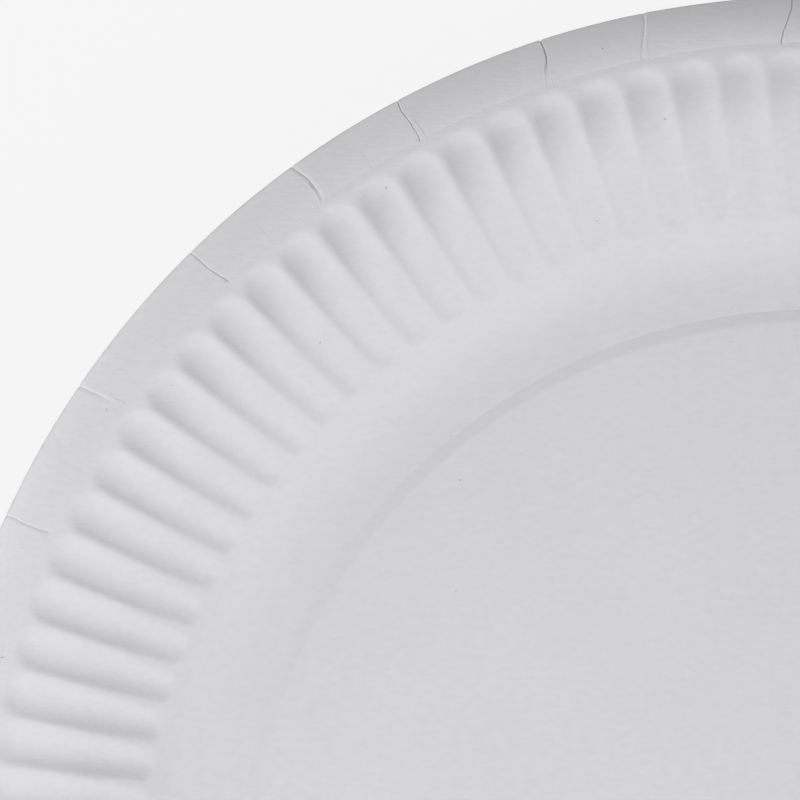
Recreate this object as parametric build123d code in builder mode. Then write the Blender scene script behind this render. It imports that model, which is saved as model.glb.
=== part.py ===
"""Pressed paper plate: one sheet of board, formed in a single stroke.

The plate stands on a narrow flat ring. Inside the ring a flat panel is raised by a small step. Outside it the
wall curves up, turns over a shoulder and ends in a rim that curls down. Radial flutes are pressed into the wall
and shoulder, and the rim carries the pleats that gather the spare board.

Frame: millimetres, Z up, origin at the centre of the ring that the plate stands on.
"""

from build123d import *

import os
from itertools import accumulate
from math import cos, pi, radians, sin, sqrt, tan

# --- Driving dimensions, in millimetres and degrees ---

sheet_thickness = 0.4
plate_radius = 115.0

# Bands of the plate, from the edge inwards
rim_width = 5.9
shoulder_width = 13.6
wall_width = 17.5
ring_width = 3.5
step_width = 1.6

# Shape of the bands, as rounds and slopes of the underside
rim_edge_slope = -50.0
shoulder_slope = -5.0
shoulder_round = 10.2
wall_slope = 45.0
wall_foot_round = 10.9
ring_edge_round = 0.8
panel_edge_round = 1.5
panel_rise = 0.5

# Flutes: round-bottomed channels with ball ends, spaced by their pitch at the inner end
flute_pitch = 5.16
flute_round = 4.6
flute_inner_depth = 0.54
flute_middle_depth = 0.72
flute_outer_depth = 0.84
flute_inner_gap = 1.4
flute_outer_gap = 1.2
first_flute_angle = -0.2

# Pleats pressed into the top of the rim, in a run of uneven gaps that repeats round the plate
pleat_gaps = (9.5, 6.9, 9.7, 7.7, 8.7, 11.6, 9.2, 8.7)
pleat_runs = 5
first_pleat_angle = 91.9
pleat_width = 0.25
pleat_depth = 0.12

# How far the forming tools below reach past the side of the sheet that they shape
tool_reach = 0.1

# --- Radii of the lines between the bands ---

rim_radius = plate_radius - rim_width
wall_top_radius = rim_radius - shoulder_width
ring_outer_radius = wall_top_radius - wall_width
ring_inner_radius = ring_outer_radius - ring_width
panel_radius = ring_inner_radius - step_width


def along(slope):
    """Unit vector that runs outwards at this slope, in the radial plane."""
    return Vector(cos(radians(slope)), sin(radians(slope)))


def above(slope):
    """Unit vector square to that slope, on the upper side."""
    return Vector(-sin(radians(slope)), cos(radians(slope)))


def at_radius(point, slope, radius):
    """Point at this radius on the line through a point at this slope."""
    return point + along(slope) * ((radius - point.X) / cos(radians(slope)))


# --- Corners of the underside, in the radial plane ---

wall_foot = Vector(ring_outer_radius + wall_foot_round * tan(radians(wall_slope / 2)), 0)
shoulder_tangent = shoulder_round * tan(radians((wall_slope - shoulder_slope) / 2))
shoulder = at_radius(wall_foot, wall_slope, wall_top_radius) + along(wall_slope) * shoulder_tangent
rim_start = at_radius(shoulder, shoulder_slope, rim_radius)
rim_run = rim_width + sheet_thickness * sin(radians(rim_edge_slope))
rim_round = rim_run / (sin(radians(shoulder_slope)) - sin(radians(rim_edge_slope)))


def shoulder_corner(height):
    """Corner of the wall and shoulder lines that lie this high above the underside."""
    stretch = height * tan(radians((wall_slope - shoulder_slope) / 2))
    return shoulder + above(wall_slope) * height + along(wall_slope) * stretch


# --- Pleat: a thin block that follows the top of the rim ---

with BuildPart() as pleat:
    with BuildSketch(Plane.XZ):
        with BuildLine():
            crease = JernArc(
                rim_start + above(shoulder_slope) * sheet_thickness,
                along(shoulder_slope),
                rim_round + sheet_thickness,
                rim_edge_slope - shoulder_slope,
            )
            offset(crease, amount=pleat_depth, side=Side.RIGHT)
        make_face()
    extrude(amount=pleat_width / 2, both=True)

# --- Sheet: the underside line, thickened upwards and turned about the axis, with the pleats cut ---

with BuildPart() as sheet:
    with BuildSketch(Plane.XZ):
        with BuildLine():
            bed = FilletPolyline(
                (0, panel_rise),
                (panel_radius, panel_rise),
                (ring_inner_radius, 0),
                wall_foot,
                shoulder,
                rim_start,
                radius=(panel_edge_round, ring_edge_round, wall_foot_round, shoulder_round),
            )
            JernArc(bed @ 1, bed % 1, rim_round, rim_edge_slope - shoulder_slope)
            offset(amount=sheet_thickness, side=Side.LEFT)
        make_face()
    revolve(axis=Axis.Z)
    pleat_angles = accumulate((pleat_gaps * pleat_runs)[:-1], initial=first_pleat_angle)
    with Locations(*[Location((0, 0, 0), (0, 0, angle)) for angle in pleat_angles]):
        add(pleat.part, mode=Mode.SUBTRACT)

# --- Flutes: the board between a channel and the rib below it ---

flute_inner_radius = ring_outer_radius + wall_foot_round * sin(radians(wall_slope)) + flute_inner_gap
flute_outer_radius = rim_radius - flute_outer_gap
flute_count = round(2 * pi * flute_inner_radius / flute_pitch)


def flute_end(slope, tip_radius, depth, side):
    """Centre of the ball that ends a flute: side is 1 where the flute runs outwards from it, and -1 inwards."""
    tip = at_radius(shoulder + above(slope) * sheet_thickness, slope, tip_radius)
    half_width = sqrt(depth * (2 * flute_round - depth))
    return tip + along(slope) * side * half_width + above(slope) * (flute_round - depth)


def flute_tool(radius, height):
    """Round bar along a flute with a ball at each end, kept only below this height above the underside."""
    centre_height = sheet_thickness + flute_round - flute_middle_depth
    flute_line = (
        flute_end(wall_slope, flute_inner_radius, flute_inner_depth, 1),
        shoulder_corner(centre_height),
        flute_end(shoulder_slope, flute_outer_radius, flute_outer_depth, -1),
    )
    with BuildPart() as tool:
        with BuildLine(Plane.XZ) as path:
            FilletPolyline(*map(tuple, flute_line), radius=shoulder_round + centre_height)
        with BuildSketch(path.line ^ 0):
            Circle(radius)
        sweep()
        with Locations(path.line @ 0, path.line @ 1):
            Sphere(radius)
        with BuildSketch(Plane.XZ):
            with BuildLine():
                cut = FilletPolyline(
                    at_radius(shoulder_corner(height), wall_slope, ring_outer_radius),
                    shoulder_corner(height),
                    at_radius(shoulder_corner(height), shoulder_slope, plate_radius),
                    radius=shoulder_round + height,
                )
                Polyline(cut @ 0, ((cut @ 1).X, (cut @ 0).Y), cut @ 1)
            make_face()
        revolve(axis=Axis.Z, mode=Mode.INTERSECT)
    return tool.part


with BuildPart() as plate:
    add(sheet.part)
    with PolarLocations(0, flute_count, start_angle=first_flute_angle):
        add(flute_tool(flute_round + sheet_thickness, tool_reach))
        add(flute_tool(flute_round, sheet_thickness + tool_reach), mode=Mode.SUBTRACT)

# --- One STEP file for the one piece ---

os.makedirs("parts", exist_ok=True)
plate.part.label = "plate"
export_step(plate.part, "parts/plate.step")
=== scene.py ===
"""Looks of a pressed paper plate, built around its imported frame.

The plate is one sheet of board. Its section is walked out from the middle as straight runs and arcs. A
Geometry Nodes tree turns that section about the axis, and presses the flutes, the rim line and the pleats into
it by rule.
"""

from __future__ import annotations

import logging
import math
from dataclasses import dataclass
from enum import Enum
from typing import Iterator, Union

import bpy
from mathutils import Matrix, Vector

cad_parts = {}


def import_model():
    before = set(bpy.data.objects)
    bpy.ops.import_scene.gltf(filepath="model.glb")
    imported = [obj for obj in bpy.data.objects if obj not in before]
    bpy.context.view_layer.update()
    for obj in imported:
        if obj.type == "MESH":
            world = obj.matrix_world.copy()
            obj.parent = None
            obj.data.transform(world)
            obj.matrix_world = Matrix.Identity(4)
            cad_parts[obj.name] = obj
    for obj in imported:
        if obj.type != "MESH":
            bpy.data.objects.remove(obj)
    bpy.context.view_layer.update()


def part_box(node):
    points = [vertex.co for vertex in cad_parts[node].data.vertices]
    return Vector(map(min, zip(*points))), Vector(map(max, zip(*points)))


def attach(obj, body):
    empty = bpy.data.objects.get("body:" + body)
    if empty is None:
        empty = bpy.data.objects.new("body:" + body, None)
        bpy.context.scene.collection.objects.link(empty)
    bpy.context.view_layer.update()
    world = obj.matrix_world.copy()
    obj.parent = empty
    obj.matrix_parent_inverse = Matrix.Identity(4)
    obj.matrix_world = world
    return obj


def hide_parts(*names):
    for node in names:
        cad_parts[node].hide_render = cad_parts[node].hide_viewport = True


log = logging.getLogger("paper_plate")

MM = 0.001
SEED = 7
MERGE_DISTANCE = 1e-6
SHARP_ANGLE = math.radians(50.0)


# --- Nodes written as formulas ---


class Field:
    """One value in a node tree, which takes part in sums as a number would."""

    def __init__(self, pen: Pen, socket: bpy.types.NodeSocket) -> None:
        """Ties the value to the tree that its pen writes.

        Args:
            pen: Writes the nodes that the value's sums need.
            socket: The output that the value comes from.
        """
        self.pen = pen
        self.socket = socket

    def __add__(self, other: Operand) -> Field:
        """This value plus another."""
        return self.pen.math("ADD", self, other)

    def __radd__(self, other: Operand) -> Field:
        """Another value plus this one."""
        return self.pen.math("ADD", other, self)

    def __sub__(self, other: Operand) -> Field:
        """This value less another."""
        return self.pen.math("SUBTRACT", self, other)

    def __rsub__(self, other: Operand) -> Field:
        """Another value less this one."""
        return self.pen.math("SUBTRACT", other, self)

    def __mul__(self, other: Operand) -> Field:
        """This value times another."""
        return self.pen.math("MULTIPLY", self, other)

    def __rmul__(self, other: Operand) -> Field:
        """Another value times this one."""
        return self.pen.math("MULTIPLY", other, self)

    def __truediv__(self, other: Operand) -> Field:
        """This value over another."""
        return self.pen.math("DIVIDE", self, other)

    def __rtruediv__(self, other: Operand) -> Field:
        """Another value over this one."""
        return self.pen.math("DIVIDE", other, self)

    def __pow__(self, other: Operand) -> Field:
        """This value to a power."""
        return self.pen.math("POWER", self, other)


Operand = Union[Field, float, int]


class Pen:
    """Writes the nodes of one tree."""

    def __init__(self, tree: bpy.types.NodeTree) -> None:
        """Starts on a tree.

        Args:
            tree: The tree that takes the nodes.
        """
        self.tree = tree

    def node(self, kind: str, **settings: object) -> bpy.types.Node:
        """Adds a node.

        Args:
            kind: The node's type name.
            **settings: Properties of the node and their values.

        Returns:
            The new node.
        """
        node = self.tree.nodes.new(kind)
        for name, value in settings.items():
            setattr(node, name, value)
        return node

    def feed(self, socket: bpy.types.NodeSocket, value: object) -> None:
        """Links a value to an input, or sets it there if it is plain.

        Args:
            socket: The input.
            value: A Field, a socket or a plain value.
        """
        if isinstance(value, Field):
            self.tree.links.new(value.socket, socket)
        elif isinstance(value, bpy.types.NodeSocket):
            self.tree.links.new(value, socket)
        else:
            socket.default_value = value

    def call(self, kind: str, inputs: dict[str, object], output: str, **settings: object) -> Field:
        """Adds a node, feeds its inputs and gives one of its outputs.

        Args:
            kind: The node's type name.
            inputs: Values by the name of the input.
            output: The name of the wanted output.
            **settings: Properties of the node and their values.

        Returns:
            The output as a value.
        """
        node = self.node(kind, **settings)
        for name, value in inputs.items():
            self.feed(self.find(node.inputs, name), value)
        return Field(self, self.find(node.outputs, output))

    @staticmethod
    def find(sockets: bpy.types.bpy_prop_collection, name: str) -> bpy.types.NodeSocket:
        """The socket of this name that is in use."""
        return next(socket for socket in sockets if socket.name == name and socket.enabled)

    def math(self, operation: str, *operands: Operand) -> Field:
        """One Math node.

        Args:
            operation: The node's operation.
            *operands: One to three values.

        Returns:
            The result.
        """
        node = self.node("ShaderNodeMath", operation=operation)
        for socket, operand in zip(node.inputs, operands):
            self.feed(socket, operand)
        return Field(self, node.outputs[0])

    def xyz(self, x: Operand, y: Operand, z: Operand) -> Field:
        """A vector from its three parts."""
        return self.call("ShaderNodeCombineXYZ", {"X": x, "Y": y, "Z": z}, "Vector")

    def parts(self, vector: Field) -> tuple[Field, Field, Field]:
        """The three parts of a vector."""
        node = self.node("ShaderNodeSeparateXYZ")
        self.feed(node.inputs[0], vector)
        return tuple(Field(self, socket) for socket in node.outputs)

    def bell(self, distance: Field, width: Operand) -> Field:
        """A smooth bump: 1 at no distance, and near 0 at twice this width."""
        return self.math("EXPONENT", 0 - (distance / width) ** 2)

    def noise(self, place: Field, scale: float, detail: float = 2.0) -> Field:
        """Soft noise about 0.5 at a place, from 0 to 1."""
        inputs = {"Vector": place, "Scale": scale, "Detail": detail}
        return self.call("ShaderNodeTexNoise", inputs, "Fac", noise_dimensions="3D")

    def ramp(self, value: Field, low: Operand, high: Operand) -> Field:
        """Rises smoothly from 0 to 1 as a value goes from low to high, or falls if low is the higher."""
        inputs = {"Value": value, "From Min": low, "From Max": high}
        return self.call("ShaderNodeMapRange", inputs, "Result", interpolation_type="SMOOTHSTEP")


# --- The section of the plate ---


@dataclass(frozen=True)
class Station:
    """One point of the section's underside.

    Attributes:
        radius: Distance from the axis.
        height: Height above the surface that the plate stands on.
        slope: Slope of the sheet there, in radians.
        travel: Distance walked along the section.
    """

    radius: float
    height: float
    slope: float
    travel: float


class Walk:
    """A line walked outwards from the axis as straight runs and arcs that meet without a kink."""

    def __init__(self, height: float) -> None:
        """Starts on the axis, level.

        Args:
            height: Height of the first point.
        """
        self.stations = [Station(0.0, height, 0.0, 0.0)]

    @property
    def end(self) -> Station:
        """The last station walked to."""
        return self.stations[-1]

    def run(self, radius: float, rows: int) -> None:
        """Walks straight on.

        Args:
            radius: Distance from the axis at the end of the run.
            rows: How many stations the run has.
        """
        start = self.end
        length = (radius - start.radius) / math.cos(start.slope)
        for row in range(1, rows + 1):
            step = length * row / rows
            self.stations.append(
                Station(
                    start.radius + step * math.cos(start.slope),
                    start.height + step * math.sin(start.slope),
                    start.slope,
                    start.travel + step,
                )
            )

    def turn(self, slope: float, bend: float, rows: int) -> None:
        """Walks an arc.

        Args:
            slope: Slope at the end of the arc, in degrees.
            bend: Radius of the arc.
            rows: How many stations the arc has.
        """
        start = self.end
        change = math.radians(slope) - start.slope
        side = math.copysign(bend, change)
        for row in range(1, rows + 1):
            now = start.slope + change * row / rows
            self.stations.append(
                Station(
                    start.radius + side * (math.sin(now) - math.sin(start.slope)),
                    start.height - side * (math.cos(now) - math.cos(start.slope)),
                    now,
                    start.travel + abs(now - start.slope) * bend,
                )
            )


class Side(Enum):
    """The two sides of the board."""

    EATING = "eating"
    UNDER = "under"


@dataclass(frozen=True)
class RowPlan:
    """How many rows of mesh each stretch of the section gets.

    Attributes:
        panel: Rows on the flat panel.
        bend: Rows on each of the step's two bends.
        foot: Rows on the curve from the ring to the wall.
        tip: Rows on each end of the flutes.
        wall: Rows on the wall between the flutes' inner ends and the shoulder.
        shoulder: Rows on the shoulder's curve.
        line: Rows on each half of the line between shoulder and rim.
        rim: Rows on the rim's curl.
    """

    panel: int
    bend: int
    foot: int
    tip: int
    wall: int
    shoulder: int
    line: int
    rim: int


PLANS = {
    Side.EATING: RowPlan(panel=2, bend=3, foot=7, tip=9, wall=4, shoulder=8, line=2, rim=8),
    Side.UNDER: RowPlan(panel=1, bend=2, foot=4, tip=5, wall=2, shoulder=4, line=1, rim=4),
}


@dataclass
class Section:
    """The plate's section, in millimetres and degrees, with slopes and rounds as on the underside.

    Attributes:
        radius: The plate's outer radius.
        board: Thickness of the board.
        rim_width: Width of the rim's curl, seen from above.
        shoulder_width: Width of the shoulder between wall and rim.
        wall_width: Width of the wall from the ring to the shoulder.
        ring_width: Width of the ring that the plate stands on.
        step_width: Width of the step from the ring up to the panel.
        edge_slope: Slope of the board at its cut edge.
        edge_round: Radius of the last bend before the cut edge.
        rim_slope: Slope at the lower end of the rim's curl.
        shoulder_slope: Slope of the shoulder, which falls outwards.
        shoulder_round: Radius of the bend between wall and shoulder.
        wall_slope: Slope of the wall.
        foot_round: Radius of the bend between ring and wall.
        ring_edge_round: Radius of the bend from the ring to the step.
        panel_edge_round: Radius of the bend from the step to the panel.
        panel_rise: Height of the panel above the ring.
        flute_inner_gap: Distance from the wall's lower end to the inner ends of the flutes.
        flute_outer_gap: Distance from the outer ends of the flutes to the rim line.
        tip_length: How far in from a flute's end its close rows of mesh reach.
        tip_margin: How far the same rows reach past the end.
        line_reach: How far the close rows of mesh reach to each side of the rim line.
        line_depth: Depth of the thin rim line.
        line_width: Half the width of the thin rim line.
        drop: Depth of the soft drop along the rim line.
        drop_inside: How far in from the line the soft drop reaches.
        drop_outside: How far out from the line it reaches.
    """

    radius: float
    board: float = 0.4
    rim_width: float = 5.9
    shoulder_width: float = 13.6
    wall_width: float = 17.5
    ring_width: float = 3.5
    step_width: float = 1.6
    edge_slope: float = -80.0
    edge_round: float = 0.5
    rim_slope: float = -50.0
    shoulder_slope: float = -5.0
    shoulder_round: float = 10.2
    wall_slope: float = 45.0
    foot_round: float = 10.9
    ring_edge_round: float = 0.8
    panel_edge_round: float = 1.5
    panel_rise: float = 0.5
    flute_inner_gap: float = 1.4
    flute_outer_gap: float = 1.2
    tip_length: float = 3.2
    tip_margin: float = 0.5
    line_reach: float = 0.25
    line_depth: float = 0.022
    line_width: float = 0.11
    drop: float = 0.09
    drop_inside: float = 0.7
    drop_outside: float = 4.0

    def __post_init__(self) -> None:
        """Works out the radii between the bands and the curl of the rim."""
        self.rim_radius = self.radius - self.rim_width
        self.wall_top = self.rim_radius - self.shoulder_width
        self.ring_outer = self.wall_top - self.wall_width
        self.ring_inner = self.ring_outer - self.ring_width
        self.panel_radius = self.ring_inner - self.step_width
        foot = self.foot_round * math.sin(math.radians(self.wall_slope))
        self.flute_inner = self.ring_outer + foot + self.flute_inner_gap
        self.flute_outer = self.rim_radius - self.flute_outer_gap
        edge, rim, shoulder = (
            math.sin(math.radians(-slope)) for slope in (self.edge_slope, self.rim_slope, self.shoulder_slope)
        )
        curl = self.rim_width - self.edge_round * (edge - rim) - self.board * edge
        self.rim_round = curl / (rim - shoulder)

    def walk(self, plan: RowPlan) -> Walk:
        """Walks the underside from the axis to the edge.

        Args:
            plan: How many rows each stretch gets.

        Returns:
            The walk with all its stations.
        """
        step = math.atan(self.panel_rise / self.step_width)
        half = math.tan(step / 2)
        way = Walk(self.panel_rise)
        way.run(self.panel_radius - self.panel_edge_round * half, plan.panel)
        way.turn(-math.degrees(step), self.panel_edge_round, plan.bend)
        way.run(self.ring_inner - self.ring_edge_round * half * math.cos(step), 1)
        way.turn(0.0, self.ring_edge_round, plan.bend)
        way.run(self.ring_outer, 1)
        way.turn(self.wall_slope, self.foot_round, plan.foot)
        way.run(self.flute_inner - self.tip_margin, 1)
        way.run(self.flute_inner + self.tip_length, plan.tip)
        way.run(self.wall_top, plan.wall)
        way.turn(self.shoulder_slope, self.shoulder_round, plan.shoulder)
        way.run(self.flute_outer - self.tip_length, 1)
        way.run(self.flute_outer + self.tip_margin, plan.tip)
        way.run(self.rim_radius - self.line_reach, 1)
        way.run(self.rim_radius, plan.line)
        past_line = math.degrees(self.line_reach / self.rim_round)
        way.turn(self.shoulder_slope - past_line, self.rim_round, plan.line)
        way.turn(self.rim_slope, self.rim_round, plan.rim)
        way.turn(self.edge_slope, self.edge_round, 2)
        return way


@dataclass(frozen=True)
class Flutes:
    """The flutes, in millimetres and degrees.

    Attributes:
        pitch: Distance between two flutes at their inner ends.
        first_angle: Where the middle of the first flute lies.
        inner_bore: Radius of a channel's round bottom at its narrow inner end.
        outer_bore: The same radius at its outer end.
        inner_depth: Depth at the middle of the inner end.
        outer_depth: Depth at the middle of the outer end.
        bulge: How much deeper a channel is half way than an even fall between its ends.
        crest: How far the crests between the channels are rounded.
        columns: Columns of mesh on each flute.
        crowding: How far the columns crowd towards the crests, from 0 to 1.
    """

    pitch: float = 5.16
    first_angle: float = 0.0
    inner_bore: float = 2.8
    outer_bore: float = 4.6
    inner_depth: float = 0.7
    outer_depth: float = 0.9
    bulge: float = 0.12
    crest: float = 0.13
    columns: int = 9
    crowding: float = 0.6

    def count(self, section: Section) -> int:
        """How many flutes go round the plate."""
        return round(math.tau * section.flute_inner / self.pitch)

    def channel(self, share: float) -> tuple[float, float]:
        """The radius of a channel's bottom and its depth.

        Args:
            share: Where on the channel, from 0 at its inner end to 1 at its outer end.

        Returns:
            The radius and the depth.
        """
        bore = self.inner_bore + share * (self.outer_bore - self.inner_bore)
        depth = self.inner_depth + share * (self.outer_depth - self.inner_depth)
        return bore, depth + self.bulge * 4 * share * (1 - share)

    def half_width(self, share: float) -> float:
        """Half a channel's width at this share of its length."""
        bore, depth = self.channel(share)
        return math.sqrt(depth * (2 * bore - depth))


@dataclass(frozen=True)
class Pleat:
    """One pleat of the rim, in millimetres.

    Attributes:
        path: How far to the right of its angle it lies, seen from the edge inwards, at each of four even steps.
        depth: Depth of its slit.
        reach: How far it runs in from the edge.
        lift: How much its left side stands above its right side.
        branch: How far to the right a second crease starts from its inner end.
    """

    path: tuple[float, float, float, float]
    depth: float
    reach: float
    lift: float
    branch: float = 0.0


@dataclass(frozen=True)
class Pleats:
    """The pleats that gather the spare board of the rim, in millimetres and degrees.

    Attributes:
        first_angle: Where the first one lies.
        gaps: Uneven gaps between them, in a run that repeats round the plate.
        shapes: Their shapes, in a run that repeats in the same way.
        path_step: Distance between two steps of a path.
        jitter: How far a pleat strays from its smooth path.
        slit_width: Half the width of a slit.
        step_width: Half the width over which one side rises above the other.
        step_fade: How far from the pleat its raised side sinks back.
        gather: How far from a pleat the mesh is drawn towards it.
        tightness: How close the mesh lies at the pleat, as a share of its plain spacing.
        past_line: How far the pleats run on past the rim line.
    """

    first_angle: float = 91.9
    gaps: tuple[float, ...] = (9.5, 6.9, 9.7, 7.7, 8.7, 11.6, 9.2, 8.7)
    shapes: tuple[Pleat, ...] = (
        Pleat(path=(0.8, 0.6, -0.3, -0.7), depth=0.2, reach=6.4, lift=0.03),
        Pleat(path=(0.6, 0.35, -0.35, -0.7), depth=0.1, reach=5.8, lift=-0.03, branch=0.6),
        Pleat(path=(0.65, 0.7, 0.25, -0.1), depth=0.25, reach=4.0, lift=0.02, branch=-0.5),
        Pleat(path=(0.05, -0.05, 0.25, 0.15), depth=0.19, reach=6.1, lift=-0.01, branch=0.8),
        Pleat(path=(-0.65, 0.05, 0.35, 0.1), depth=0.19, reach=5.6, lift=0.01, branch=-0.5),
        Pleat(path=(-0.4, -0.2, 0.05, 0.65), depth=0.16, reach=6.3, lift=0.02),
        Pleat(path=(0.35, 0.8, 1.05, 1.15), depth=0.2, reach=4.0, lift=0.0, branch=1.0),
        Pleat(path=(-0.2, -0.2, -0.15, 0.15), depth=0.16, reach=6.8, lift=0.0),
    )
    path_step: float = 2.0
    jitter: float = 0.45
    slit_width: float = 0.06
    step_width: float = 0.1
    step_fade: float = 1.1
    gather: float = 6.0
    tightness: float = 0.07
    past_line: float = 1.1

    def angles(self) -> Iterator[float]:
        """The angle of each pleat, in radians."""
        angle = self.first_angle
        runs = round(360.0 / sum(self.gaps))
        for gap in self.gaps * runs:
            yield math.radians(angle)
            angle += gap


class PlateForm:
    """The plate's shape: a section turned about the axis, with its relief pressed in by rule."""

    def __init__(self, section: Section, flutes: Flutes, pleats: Pleats) -> None:
        """Keeps the sizes.

        Args:
            section: The plate's section.
            flutes: The flutes' sizes.
            pleats: The pleats' sizes.
        """
        self.section = section
        self.flutes = flutes
        self.pleats = pleats

    def section_mesh(self) -> bpy.types.Mesh:
        """Makes the section as loose points in rows, from the middle over the edge and back underneath.

        Returns:
            A mesh whose points carry what the tree needs to know of each row.
        """
        names = ("beyond", "bore", "sink", "past_line")
        rows: list[tuple[Station, float, float, float, float, float]] = []
        for side, lift in ((Side.EATING, self.section.board), (Side.UNDER, 0.0)):
            way = self.section.walk(PLANS[side]).stations
            rim_line = self.travel_at(way, self.section.rim_radius)
            inner = self.travel_at(way, self.section.flute_inner)
            outer = self.travel_at(way, self.section.flute_outer)
            inner += self.flutes.half_width(0.0)
            outer -= self.flutes.half_width(1.0)
            line = []
            for station in way:
                share = min(max((station.travel - inner) / (outer - inner), 0.0), 1.0)
                bore, depth = self.flutes.channel(share)
                beyond = max(inner - station.travel, station.travel - outer, 0.0)
                line.append((station, lift, beyond, bore, bore - depth, station.travel - rim_line))
            rows += line if side is Side.EATING else reversed(line)
        mesh = bpy.data.meshes.new("plate_section")
        points = []
        for station, lift, *_ in rows:
            points.append(
                (
                    station.radius - lift * math.sin(station.slope),
                    0.0,
                    station.height + lift * math.cos(station.slope),
                )
            )
        mesh.from_pydata(points, [], [])
        for offset, name in enumerate(names):
            values = mesh.attributes.new(name, "FLOAT", "POINT")
            values.data.foreach_set("value", [row[2 + offset] for row in rows])
        square = mesh.attributes.new("square", "FLOAT_VECTOR", "POINT")
        for item, (station, *_) in zip(square.data, rows):
            item.vector = (-math.sin(station.slope), 0.0, math.cos(station.slope))
        return mesh

    @staticmethod
    def travel_at(way: list[Station], radius: float) -> float:
        """Distance walked along the section where it reaches a radius."""
        for before, after in zip(way, way[1:]):
            if after.radius >= radius:
                share = (radius - before.radius) / (after.radius - before.radius)
                return before.travel + share * (after.travel - before.travel)
        return way[-1].travel

    def pleat_mesh(self) -> bpy.types.Mesh:
        """Makes one point for each pleat, on a circle of radius 1, that carries the pleat's shape."""
        angles = list(self.pleats.angles())
        mesh = bpy.data.meshes.new("pleat_points")
        mesh.from_pydata([(math.cos(angle), math.sin(angle), 0.0) for angle in angles], [], [])
        shapes = [self.pleats.shapes[number % len(self.pleats.shapes)] for number in range(len(angles))]
        names = ("depth", "reach", "lift", "branch")
        columns = {name: [getattr(shape, name) for shape in shapes] for name in names}
        columns["angle"] = angles
        for step in range(4):
            columns[f"path_{step}"] = [shape.path[step] for shape in shapes]
        for name, numbers in columns.items():
            mesh.attributes.new(name, "FLOAT", "POINT").data.foreach_set("value", numbers)
        return mesh

    def sizes(self) -> dict[str, float]:
        """The tree's sizes by the name of their input, with counts as whole numbers."""
        section, flutes, pleats = self.section, self.flutes, self.pleats
        return {
            "Seed": SEED,
            "Flutes": flutes.count(section),
            "Columns": flutes.columns,
            "Crowding": flutes.crowding,
            "First flute": math.radians(flutes.first_angle),
            "Crest": flutes.crest,
            "Line depth": section.line_depth,
            "Line width": section.line_width,
            "Drop": section.drop,
            "Drop inside": section.drop_inside,
            "Drop outside": section.drop_outside,
            "Radius": section.radius,
            "Path step": pleats.path_step,
            "Jitter": pleats.jitter,
            "Slit width": pleats.slit_width,
            "Step width": pleats.step_width,
            "Step fade": pleats.step_fade,
            "Gather": pleats.gather,
            "Tightness": pleats.tightness,
            "Past line": pleats.past_line,
        }

    def tree(self) -> bpy.types.NodeTree:
        """Writes the Geometry Nodes tree.

        Returns:
            The tree, with named inputs for its sizes.
        """
        tree = bpy.data.node_groups.new("PressedPlate", "GeometryNodeTree")
        tree.interface.new_socket("Geometry", in_out="OUTPUT", socket_type="NodeSocketGeometry")
        kinds = {"Geometry": "Geometry", "Pleats": "Object", "Material": "Material"}
        for name, size in self.sizes().items():
            kinds[name] = "Int" if isinstance(size, int) else "Float"
        for name, kind in kinds.items():
            tree.interface.new_socket(name, in_out="INPUT", socket_type=f"NodeSocket{kind}")
        PlateTree(tree).write()
        return tree

    def build(self, material: bpy.types.Material) -> bpy.types.Object:
        """Makes the plate.

        Args:
            material: What the plate is made of.

        Returns:
            The finished plate, in metres, as a plain mesh.
        """
        pleat_points = bpy.data.objects.new("pleat_points", self.pleat_mesh())
        plate = bpy.data.objects.new("pressed_plate", self.section_mesh())
        bpy.context.scene.collection.objects.link(plate)
        bpy.context.scene.collection.objects.link(pleat_points)
        modifier = plate.modifiers.new("press", "NODES")
        modifier.node_group = self.tree()
        values = {"Pleats": pleat_points, "Material": material, **self.sizes()}
        for item in modifier.node_group.interface.items_tree:
            if item.in_out == "INPUT" and item.name in values:
                modifier[item.identifier] = values[item.name]
        return self.bake(plate, pleat_points)

    @staticmethod
    def bake(plate: bpy.types.Object, helper: bpy.types.Object) -> bpy.types.Object:
        """Turns the tree's result into a plain mesh and drops what made it.

        Args:
            plate: The object that carries the tree.
            helper: The object that the tree reads.

        Returns:
            The plate.
        """
        graph = bpy.context.evaluated_depsgraph_get()
        mesh = bpy.data.meshes.new_from_object(plate.evaluated_get(graph), depsgraph=graph)
        plate.modifiers.clear()
        plate.data = mesh
        mesh.name = plate.name
        mesh.set_sharp_from_angle(angle=SHARP_ANGLE)
        bpy.data.objects.remove(helper)
        return plate


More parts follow.
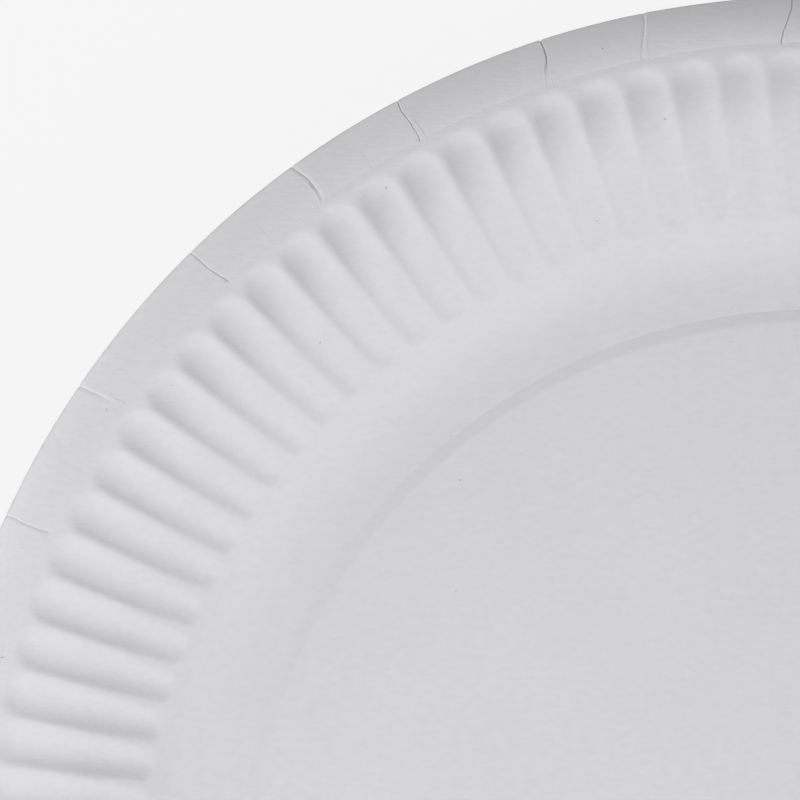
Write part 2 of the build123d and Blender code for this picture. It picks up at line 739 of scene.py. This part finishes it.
class PlateTree:
    """Writes the rule that presses the plate, as nodes. Lengths are in millimetres until the last step.

    Attributes:
        LINE_CHANGES: How often the rim line grows fainter and stronger round the plate.
        LINE_GAIN: How strongly it does so.
        LINE_LEAST: What is left of it where it is faintest.
        RIM_BLEND: Over what length a pleat sets in at the rim line.
        END_BLEND: Half the length over which a pleat ends.
        CRUMPLE_REACH: How far to each side of a pleat the board is crumpled.
        JITTER_ROUND: How much a pleat's straying differs from that of the next one.
        JITTER_ALONG: How often it changes along the pleat.
        PATH_END: At which step of its path a pleat runs on straight inwards.
    """

    LINE_CHANGES: float = 14.0
    LINE_GAIN: float = 1.8
    LINE_LEAST: float = 0.1
    RIM_BLEND: float = 0.3
    END_BLEND: float = 0.4
    CRUMPLE_REACH: float = 1.5
    JITTER_ROUND: float = 40.0
    JITTER_ALONG: float = 2.0
    PATH_END: float = 3.4

    def __init__(self, tree: bpy.types.NodeTree) -> None:
        """Starts on a tree that has its sockets."""
        self.pen = Pen(tree)
        entry = self.pen.node("NodeGroupInput")
        self.inputs = {socket.name: Field(self.pen, socket) for socket in entry.outputs if socket.name}

    def sample(self, geometry: Field, name: str, index: Field, kind: str = "FLOAT") -> Field:
        """A named value of one point of a geometry.

        Args:
            geometry: The geometry whose points carry the value.
            name: The value's name, or "position".
            index: Which point.
            kind: The value's data type.

        Returns:
            The value.
        """
        value = self.pen.call("GeometryNodeInputNamedAttribute", {"Name": name}, "Attribute", data_type=kind)
        inputs = {"Geometry": geometry, "Value": value, "Index": index}
        return self.pen.call("GeometryNodeSampleIndex", inputs, "Value", data_type=kind, domain="POINT")

    def write(self) -> None:
        """Writes the whole tree."""
        pen, given = self.pen, self.inputs
        section = given["Geometry"]
        rows = pen.call("GeometryNodeAttributeDomainSize", {"Geometry": section}, "Point Count")
        columns = given["Flutes"] * given["Columns"]
        grid = pen.call("GeometryNodeMeshGrid", {"Vertices X": columns + 1, "Vertices Y": rows}, "Mesh")
        index = pen.call("GeometryNodeInputIndex", {}, "Index")
        column = pen.math("FLOOR", (index + 0.5) / rows)
        row = index - column * rows

        past_line = self.sample(section, "past_line", row)
        phase, flute = self.flute_phase(column)
        pitch = math.tau / given["Flutes"]
        angle = given["First flute"] + (flute + phase - 0.5) * pitch
        x, _, z = pen.parts(self.sample(section, "position", row, "FLOAT_VECTOR"))
        out, _, up = pen.parts(self.sample(section, "square", row, "FLOAT_VECTOR"))

        angle, fold, marks = self.pleat(angle, x, past_line)
        relief = fold - self.channel((phase - 0.5) * pitch * x, row) - self.rim_line(angle, past_line)
        x = (x + out * relief) * MM
        z = (z + up * relief) * MM
        place = pen.xyz(x * pen.math("COSINE", angle), x * pen.math("SINE", angle), z)

        pressed = pen.call("GeometryNodeSetPosition", {"Geometry": grid, "Position": place}, "Geometry")
        for name, value in marks.items():
            pressed = pen.call(
                "GeometryNodeStoreNamedAttribute",
                {"Geometry": pressed, "Name": name, "Value": value},
                "Geometry",
                data_type="FLOAT",
                domain="POINT",
            )
        inputs = {"Geometry": pressed, "Distance": MERGE_DISTANCE}
        closed = pen.call("GeometryNodeMergeByDistance", inputs, "Geometry")
        smooth = pen.call("GeometryNodeSetShadeSmooth", {"Geometry": closed}, "Geometry")
        real = pen.call("GeometryNodeRealizeInstances", {"Geometry": smooth}, "Geometry")
        inputs = {"Geometry": real, "Material": given["Material"]}
        dressed = pen.call("GeometryNodeSetMaterial", inputs, "Geometry")
        pen.feed(pen.node("NodeGroupOutput").inputs[0], dressed)

    def flute_phase(self, column: Field) -> tuple[Field, Field]:
        """Where a column lies on its flute, with the columns crowded towards the crests.

        Args:
            column: The column's number.

        Returns:
            The phase from 0 at one crest to 1 at the next, and the flute's number.
        """
        pen, given = self.pen, self.inputs
        flute = pen.math("FLOOR", (column + 0.5) / given["Columns"])
        even = column / given["Columns"] - flute
        swing = pen.math("SINE", even * math.tau) * given["Crowding"] / math.tau
        return even - swing, flute

    def channel(self, aside: Field, row: Field) -> Field:
        """Depth of a flute: a round-bottomed channel with ball ends and soft crests.

        Args:
            aside: Distance from the channel's middle line.
            row: The row of the section.

        Returns:
            The depth below the plain sheet.
        """
        pen, given = self.pen, self.inputs
        beyond = self.sample(given["Geometry"], "beyond", row)
        bore = self.sample(given["Geometry"], "bore", row)
        sink = self.sample(given["Geometry"], "sink", row)
        under_root = bore**2 - aside**2 - beyond**2
        depth = pen.math("SQRT", pen.math("MAXIMUM", under_root, 0.0)) - sink
        return pen.math("SMOOTH_MAX", depth, 0.0, given["Crest"])

    def rim_line(self, angle: Field, past_line: Field) -> Field:
        """Depth at the line between shoulder and rim: a soft drop, with a thin line that comes and goes."""
        pen, given = self.pen, self.inputs
        outside = pen.math("GREATER_THAN", past_line, 0.0)
        reach = given["Drop inside"] + outside * (given["Drop outside"] - given["Drop inside"])
        round_the_plate = pen.xyz(pen.math("COSINE", angle), pen.math("SINE", angle), given["Seed"])
        wander = pen.noise(round_the_plate, self.LINE_CHANGES)
        strength = pen.math("MULTIPLY_ADD", wander, self.LINE_GAIN, self.LINE_LEAST)
        line = pen.bell(past_line, given["Line width"]) * given["Line depth"] * strength
        return pen.bell(past_line, reach) * given["Drop"] + line

    def pleat(self, angle: Field, radius: Field, past_line: Field) -> tuple[Field, Field, dict[str, Field]]:
        """The nearest pleat: columns gather along it, and the board steps and opens there.

        Args:
            angle: The column's angle before it is gathered.
            radius: The row's distance from the axis.
            past_line: The row's distance past the rim line.

        Returns:
            The gathered angle, the height of the fold, and what the finish needs to know: the distance beside
            the pleat, the distance in from the edge, the pleat's second crease and how crumpled the board is.
        """
        pen, given = self.pen, self.inputs
        pleats = pen.call("GeometryNodeObjectInfo", {"Object": given["Pleats"]}, "Geometry")
        on_circle = pen.xyz(pen.math("COSINE", angle), pen.math("SINE", angle), 0.0)
        inputs = {"Geometry": pleats, "Sample Position": on_circle}
        nearest = pen.call("GeometryNodeSampleNearest", inputs, "Index", domain="POINT")
        gap = angle - self.sample(pleats, "angle", nearest)
        gap = gap - pen.math("ROUND", gap / math.tau) * math.tau
        away = pen.math("ABSOLUTE", gap) * radius
        share = pen.math("MINIMUM", away / given["Gather"], 1.0)
        pull = given["Tightness"] + (1 - given["Tightness"]) * share**2
        past_start = pen.math("MAXIMUM", past_line + given["Past line"], 0.0)
        on_rim = pen.math("SMOOTH_MIN", past_start, 1.0, self.RIM_BLEND)
        beside = pen.math("SIGN", gap) * away * (1 + on_rim * (pull - 1))

        inward = given["Radius"] - radius
        path = self.path(pleats, nearest, inward) + self.jitter(angle - gap, inward)
        gathered = angle - gap + (beside - path * on_rim * (1 - share**2)) / radius

        ends = self.sample(pleats, "reach", nearest) - inward
        shown = pen.ramp(ends, -self.END_BLEND, self.END_BLEND) * on_rim
        step = pen.math("TANH", beside / given["Step width"]) * pen.bell(beside, given["Step fade"])
        slit = pen.bell(beside, given["Slit width"]) * self.sample(pleats, "depth", nearest)
        fold = (step * self.sample(pleats, "lift", nearest) - slit) * shown
        marks = {
            "beside": beside,
            "inward": inward,
            "branch": self.sample(pleats, "branch", nearest),
            "crumple": pen.bell(beside, self.CRUMPLE_REACH) * on_rim,
        }
        return gathered, fold, marks

    def jitter(self, angle: Field, inward: Field) -> Field:
        """How far a pleat strays from its smooth path.

        Args:
            angle: The pleat's angle.
            inward: Distance in from the edge.

        Returns:
            The distance aside.
        """
        place = self.pen.xyz(angle * self.JITTER_ROUND, inward * self.JITTER_ALONG, self.inputs["Seed"])
        return (self.pen.noise(place, 1.0) - 0.5) * self.inputs["Jitter"]

    def path(self, pleats: Field, nearest: Field, inward: Field) -> Field:
        """How far to the right a pleat's smooth path has strayed: the cubic through its four steps.

        Args:
            pleats: The points that carry the pleats' shapes.
            nearest: Which pleat.
            inward: Distance in from the edge.

        Returns:
            The distance aside.
        """
        pen = self.pen
        place = pen.math("MINIMUM", inward / self.inputs["Path step"], self.PATH_END)
        total: Operand = 0.0
        for step in range(4):
            term = self.sample(pleats, f"path_{step}", nearest)
            for other in range(4):
                if other != step:
                    term = term * (place - other) / (step - other)
            total = term + total
        return total


# --- Finishes ---


@dataclass(frozen=True)
class Board:
    """Uncoated white board. Heights and lengths are in millimetres, and frequencies are per metre.

    Attributes:
        color: Its plain colour.
        roughness: How matte it is.
        gloss: Its specular level.
        mottle: How much its colour varies.
        mottle_frequency: How close the clouds of that lie.
        fine_mottle: How much the fibres' own pattern varies.
        fine_frequencies: How close that pattern lies along each axis.
        streak: Height of the fine marks that run one way across the sheet.
        streak_frequencies: How close they lie along each axis.
        grain: Height of the fibres' grain.
        grain_frequency: How close it lies.
        waviness: Height of its slow unevenness.
        wave_frequencies: How close that lies along each axis.
        speck: How much darker the sparse specks are.
        speck_frequency: How close the cells lie that may hold a speck.
        speck_share: Below and above which lot a cell has no speck and a full one.
        speck_size: Radius of the smallest speck, as a share of a cell.
        speck_spread: How much larger the largest one is.
        speck_core: Radius of a speck's even middle.
        cut: How much darker the cut edge is painted: partly painted shade where the curled edge turns away from
            the light, and partly the darker fibres of the rough cut.
        cut_shade_reach: Where that has faded, and where it is full, in from the edge.
        crease: Depth of the second creases beside the pleats.
        crease_width: Half the width of such a crease.
        crease_start: Where it leaves its pleat, as a share of its branch at the edge.
        crease_growth: How that share grows with the distance in from the edge.
        crease_begin: Where it fades in, in from the edge.
        crease_end: Where it fades out.
        crease_least: Over what branch it shows.
        crook: How crooked it is.
        crook_frequency: How quickly it turns.
        crumple: Height of the crumpled board between the pleats and the flutes.
        crumple_begin: Where the crumpling fades in, in from the edge.
        crumple_across: How close its folds lie across a pleat, per millimetre.
        crumple_along: How close they lie along it, per millimetre.
    """

    color: tuple[float, float, float] = (0.6656, 0.6602, 0.6799)
    roughness: float = 0.62
    gloss: float = 0.3
    mottle: float = 0.024
    mottle_frequency: float = 60.0
    fine_mottle: float = 0.052
    fine_frequencies: tuple[float, float, float] = (700.0, 1300.0, 1000.0)
    streak: float = 0.034
    streak_frequencies: tuple[float, float, float] = (350.0, 2600.0, 1200.0)
    grain: float = 0.018
    grain_frequency: float = 2500.0
    waviness: float = 0.02
    wave_frequencies: tuple[float, float, float] = (60.0, 110.0, 60.0)
    speck: float = 0.5
    speck_frequency: float = 110.0
    speck_share: tuple[float, float] = (0.8, 0.85)
    speck_size: float = 0.008
    speck_spread: float = 0.013
    speck_core: float = 0.004
    cut: float = 0.25
    cut_shade_reach: tuple[float, float] = (0.16, 0.04)
    crease: float = 0.05
    crease_width: float = 0.09
    crease_start: float = 0.5
    crease_growth: float = 0.08
    crease_begin: tuple[float, float] = (2.8, 3.6)
    crease_end: tuple[float, float] = (6.6, 5.9)
    crease_least: float = 0.2
    crook: float = 0.5
    crook_frequency: float = 900.0
    crumple: float = 0.05
    crumple_begin: tuple[float, float] = (2.4, 4.4)
    crumple_across: float = 1.8
    crumple_along: float = 0.5

    def material(self) -> bpy.types.Material:
        """Makes the material.

        Returns:
            A material on Object coordinates and on what the plate's points carry.
        """
        material = bpy.data.materials.new("pressed_board")
        material.use_nodes = True
        tree = material.node_tree
        tree.nodes.clear()
        pen = Pen(tree)
        place = pen.call("ShaderNodeTexCoord", {}, "Object")
        height = self.sheet_relief(pen, place) + self.pleat_relief(pen, place)
        bump = pen.call("ShaderNodeBump", {"Height": height, "Strength": 1.0, "Distance": MM}, "Normal")
        shader = pen.node("ShaderNodeBsdfPrincipled")
        pen.feed(shader.inputs["Base Color"], self.tone(pen, place))
        pen.feed(shader.inputs["Normal"], bump)
        shader.inputs["Roughness"].default_value = self.roughness
        shader.inputs["Specular IOR Level"].default_value = self.gloss
        pen.feed(pen.node("ShaderNodeOutputMaterial").inputs["Surface"], shader.outputs[0])
        return material

    @staticmethod
    def fibres(pen: Pen, place: Field, frequencies: tuple[float, float, float], detail: float) -> Field:
        """Noise that lies closer along one axis than along another.

        Args:
            pen: Writes the nodes.
            place: Where on the object, in metres.
            frequencies: How close it lies along each axis.
            detail: How many finer layers it has.

        Returns:
            The noise, from 0 to 1.
        """
        stretched = (part * frequency for part, frequency in zip(pen.parts(place), frequencies))
        return pen.noise(pen.xyz(*stretched), 1.0, detail)

    def tone(self, pen: Pen, place: Field) -> Field:
        """The board's colour: softly clouded, with sparse dark specks, and a thin band of painted shade along
        the cut edge that also stands for the rough cut's darker fibres.

        Args:
            pen: Writes the nodes.
            place: Where on the object, in metres.

        Returns:
            The colour.
        """
        fine = (self.fibres(pen, place, self.fine_frequencies, 4.0) - 0.5) * (2 * self.fine_mottle)
        cloudy = (pen.noise(place, self.mottle_frequency, 3.0) - 0.5) * (2 * self.mottle) + fine
        cells = pen.node("ShaderNodeTexVoronoi", feature="F1", voronoi_dimensions="2D")
        pen.feed(cells.inputs["Vector"], place)
        pen.feed(cells.inputs["Scale"], self.speck_frequency)
        lot, size, _ = pen.parts(Field(pen, cells.outputs["Color"]))
        radius = size * self.speck_spread + self.speck_size
        spot = pen.ramp(Field(pen, cells.outputs["Distance"]), radius, self.speck_core)
        specks = spot * pen.ramp(lot, *self.speck_share) * self.speck
        inward = pen.call("ShaderNodeAttribute", {}, "Fac", attribute_name="inward")
        # Painted shade: the colour darkens in a thin band at the cut edge. It stands for the shade on the edge
        # where it turns from the light, and for the darker fibres of the rough cut.
        edge = pen.ramp(inward, *self.cut_shade_reach) * self.cut
        shade = (cloudy + 1) * (1 - specks) * (1 - edge)
        inputs = {"Vector": self.color, "Scale": shade}
        return pen.call("ShaderNodeVectorMath", inputs, "Vector", operation="SCALE")

    def sheet_relief(self, pen: Pen, place: Field) -> Field:
        """Relief of the board itself: streaks one way, grain, and slow waves.

        Args:
            pen: Writes the nodes.
            place: Where on the object, in metres.

        Returns:
            The height in millimetres.
        """
        streaks = self.fibres(pen, place, self.streak_frequencies, 3.0) * self.streak
        grain = pen.noise(place, self.grain_frequency) * self.grain
        waves = self.fibres(pen, place, self.wave_frequencies, 2.0) * self.waviness
        return streaks + grain + waves

    def pleat_relief(self, pen: Pen, place: Field) -> Field:
        """Relief round the pleats that is finer than the mesh: second creases and crumpled board.

        Args:
            pen: Writes the nodes.
            place: Where on the object, in metres.

        Returns:
            The height in millimetres.
        """
        beside, inward, branch, crumple = (
            pen.call("ShaderNodeAttribute", {}, "Fac", attribute_name=name)
            for name in ("beside", "inward", "branch", "crumple")
        )
        crooked = (pen.noise(place, self.crook_frequency) - 0.5) * self.crook
        aside = beside + branch * (self.crease_start + inward * self.crease_growth) + crooked
        inner = pen.ramp(inward, *self.crease_begin) * pen.ramp(inward, *self.crease_end)
        present = pen.ramp(pen.math("ABSOLUTE", branch), 0.0, self.crease_least)
        second = pen.bell(aside, self.crease_width) * inner * present * self.crease
        across = pen.xyz(beside * self.crumple_across, inward * self.crumple_along, branch)
        ridges = pen.math("ABSOLUTE", pen.noise(across, 1.0, 3.0) - 0.5) * (2 * self.crumple)
        return ridges * crumple * pen.ramp(inward, *self.crumple_begin) - second


# --- Stage ---


@dataclass(frozen=True)
class Softbox:
    """One round, soft lamp that faces the plate.

    Attributes:
        name: What it stands for.
        bearing: Where it stands as seen from above, in degrees anticlockwise from the Y axis.
        height: How high it stands, in degrees.
        share: Its share of the light that falls on a level sheet.
        distance: How far off it stands, in metres.
        spread: How wide it looks from the plate, in degrees.
    """

    name: str
    bearing: float
    height: float
    share: float
    distance: float = 2.0
    spread: float = 40.0

    def build(self) -> None:
        """Adds the lamp."""
        bearing, height = math.radians(self.bearing), math.radians(self.height)
        towards = Vector(
            (-math.sin(bearing) * math.cos(height), math.cos(bearing) * math.cos(height), math.sin(height))
        )
        light = bpy.data.lights.new(self.name, "AREA")
        light.shape = "DISK"
        light.size = 2 * self.distance * math.tan(math.radians(self.spread / 2))
        light.energy = self.share * (math.pi * self.distance) ** 2 / math.sin(height)
        lamp = bpy.data.objects.new(self.name, light)
        lamp.location = towards * self.distance
        lamp.rotation_euler = towards.to_track_quat("Z", "Y").to_euler()
        lamp.visible_camera = False
        bpy.context.scene.collection.objects.link(lamp)


@dataclass(frozen=True)
class Studio:
    """The pale floor, the soft light and the camera straight above.

    Attributes:
        backdrop: Colour of the floor and of the world as the camera sees it.
        lens: Focal length, in millimetres: long, so that the view is nearly parallel.
        frame_width: Width of what the camera sees, in metres.
        aim: The middle of what the camera sees, in metres.
        floor_half: Half the floor's width, in metres.
        floor_drop: How far the floor lies below the plate, in metres, so that the two never touch.
        floor_glow: How far the floor shows its plain colour to the camera, from 0 to 1.
        lamps: The lamps.
    """

    backdrop: float = 0.922
    lens: float = 1600.0
    frame_width: float = 0.1033
    aim: tuple[float, float] = (-0.05363, 0.06285)
    floor_half: float = 40.0
    floor_drop: float = 0.00005
    floor_glow: float = 0.97
    lamps: tuple[Softbox, ...] = (
        Softbox("key", bearing=135.0, height=48.0, share=0.3, distance=0.6),
        Softbox("side", bearing=90.0, height=50.0, share=0.29, distance=0.9),
        Softbox("low_left", bearing=90.0, height=12.0, share=0.05),
        Softbox("far_left", bearing=45.0, height=28.0, share=0.1),
        Softbox("low_right", bearing=270.0, height=12.0, share=0.055),
        Softbox("right", bearing=270.0, height=25.0, share=0.04, distance=1.0),
        Softbox("near_right", bearing=225.0, height=23.0, share=0.21, distance=0.85),
        Softbox("far_right", bearing=315.0, height=30.0, share=0.06),
    )

    def floor(self) -> bpy.types.Object:
        """Makes the floor, pale to the camera and with a trace of the plate's shadow."""
        mesh = bpy.data.meshes.new("floor")
        half = self.floor_half
        corners = [(-half, -half, 0), (half, -half, 0), (half, half, 0), (-half, half, 0)]
        mesh.from_pydata(corners, [], [(0, 1, 2, 3)])
        floor = bpy.data.objects.new("floor", mesh)
        bpy.context.scene.collection.objects.link(floor)
        floor.location.z = -self.floor_drop
        material = bpy.data.materials.new("floor")
        material.use_nodes = True
        tree = material.node_tree
        tree.nodes.clear()
        pen = Pen(tree)
        color = (self.backdrop,) * 3 + (1.0,)
        plain = pen.call("ShaderNodeBsdfDiffuse", {"Color": color}, "BSDF")
        glow = pen.call("ShaderNodeEmission", {"Color": color, "Strength": 1.0}, "Emission")
        path = pen.node("ShaderNodeLightPath")
        mix = pen.node("ShaderNodeMixShader")
        pen.feed(mix.inputs[0], Field(pen, path.outputs["Is Camera Ray"]) * self.floor_glow)
        pen.feed(mix.inputs[1], plain)
        pen.feed(mix.inputs[2], glow)
        pen.feed(pen.node("ShaderNodeOutputMaterial").inputs["Surface"], mix.outputs[0])
        mesh.materials.append(material)
        return floor

    def world(self) -> None:
        """Shows the backdrop's colour to the camera and gives no light."""
        world = bpy.data.worlds.new("studio")
        bpy.context.scene.world = world
        world.use_nodes = True
        tree = world.node_tree
        tree.nodes.clear()
        pen = Pen(tree)
        path = pen.node("ShaderNodeLightPath")
        strength = Field(pen, path.outputs["Is Camera Ray"]) * self.backdrop
        inputs = {"Color": (1.0, 1.0, 1.0, 1.0), "Strength": strength}
        glow = pen.call("ShaderNodeBackground", inputs, "Background")
        pen.feed(pen.node("ShaderNodeOutputWorld").inputs["Surface"], glow)

    def camera(self, top: float) -> None:
        """Hangs the camera above the part of the plate that it shows.

        Args:
            top: Height of the plate's rim, in metres.
        """
        data = bpy.data.cameras.new("camera")
        data.lens = self.lens
        distance = self.frame_width * self.lens / data.sensor_width
        data.clip_start = 0.01
        data.clip_end = 100.0
        camera = bpy.data.objects.new("camera", data)
        camera.location = (*self.aim, top + distance)
        bpy.context.scene.collection.objects.link(camera)
        bpy.context.scene.camera = camera

    def build(self, top: float) -> None:
        """Builds the stage round the plate.

        Args:
            top: Height of the plate's rim, in metres.
        """
        self.floor()
        self.world()
        for lamp in self.lamps:
            lamp.build()
        self.camera(top)
        bpy.context.scene.view_settings.view_transform = "Standard"


def main() -> None:
    """Builds the plate and its stage."""
    logging.basicConfig(level=logging.INFO, format="%(name)s: %(message)s")
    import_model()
    low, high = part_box("plate")

    section = Section(radius=(high.x - low.x) / 2 / MM)
    plate = PlateForm(section, Flutes(), Pleats()).build(Board().material())
    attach(plate, "root")
    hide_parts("plate")
    log.info("plate: %d faces, radius %.2f mm", len(plate.data.polygons), section.radius)

    Studio().build(high.z)


if __name__ == "__main__":
    main()
